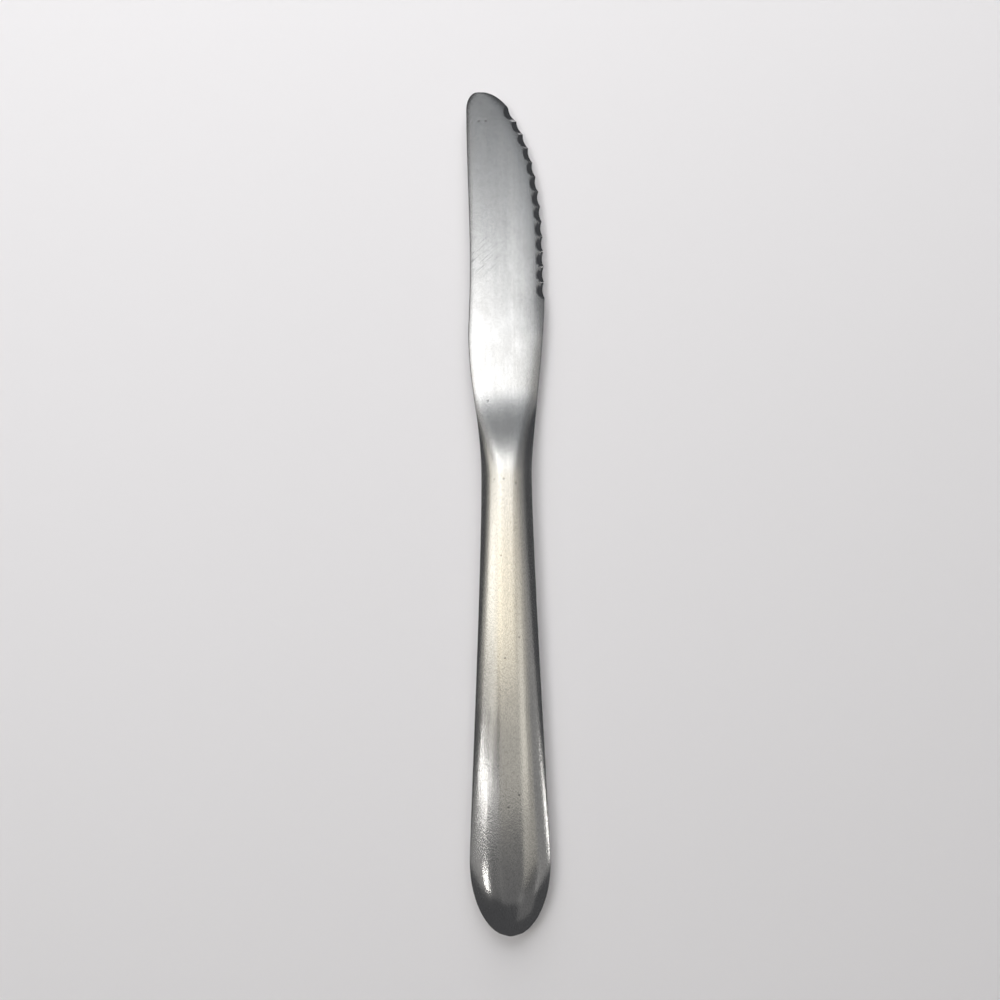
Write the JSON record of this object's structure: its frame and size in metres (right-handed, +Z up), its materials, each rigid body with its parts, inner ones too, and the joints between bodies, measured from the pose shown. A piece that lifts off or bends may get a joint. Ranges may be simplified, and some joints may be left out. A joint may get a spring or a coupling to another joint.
{
  "type": "table knife",
  "caption": "All-metal table knife with a round-tipped scalloped blade, a ramped neck and a tapered crowned hollow handle with an elliptic butt.",
  "frame": {"origin": "middle of the knife's box, on the surface that it lies on", "axes": "+Y along the knife from the butt to the tip, +X towards the cutting edge, +Z up from the surface"},
  "size_m": [0.0208, 0.2162, 0.0066],
  "materials": {
    "blade_steel": "satin stainless steel, finely brushed along the blade",
    "handle_steel": "satin stainless steel with a fine tumbled grain",
    "cement": "cast mineral-filled handle cement, out of sight",
    "braze": "silver braze, ground flush with the steel"
  },
  "bodies": {
    "root": {"blade": "blade_steel", "handle_shell_upper": "handle_steel", "handle_shell_lower": "handle_steel", "handle_cement": "cement", "seam_braze": "braze", "neck_braze": "braze"}
  },
  "joints": []
}
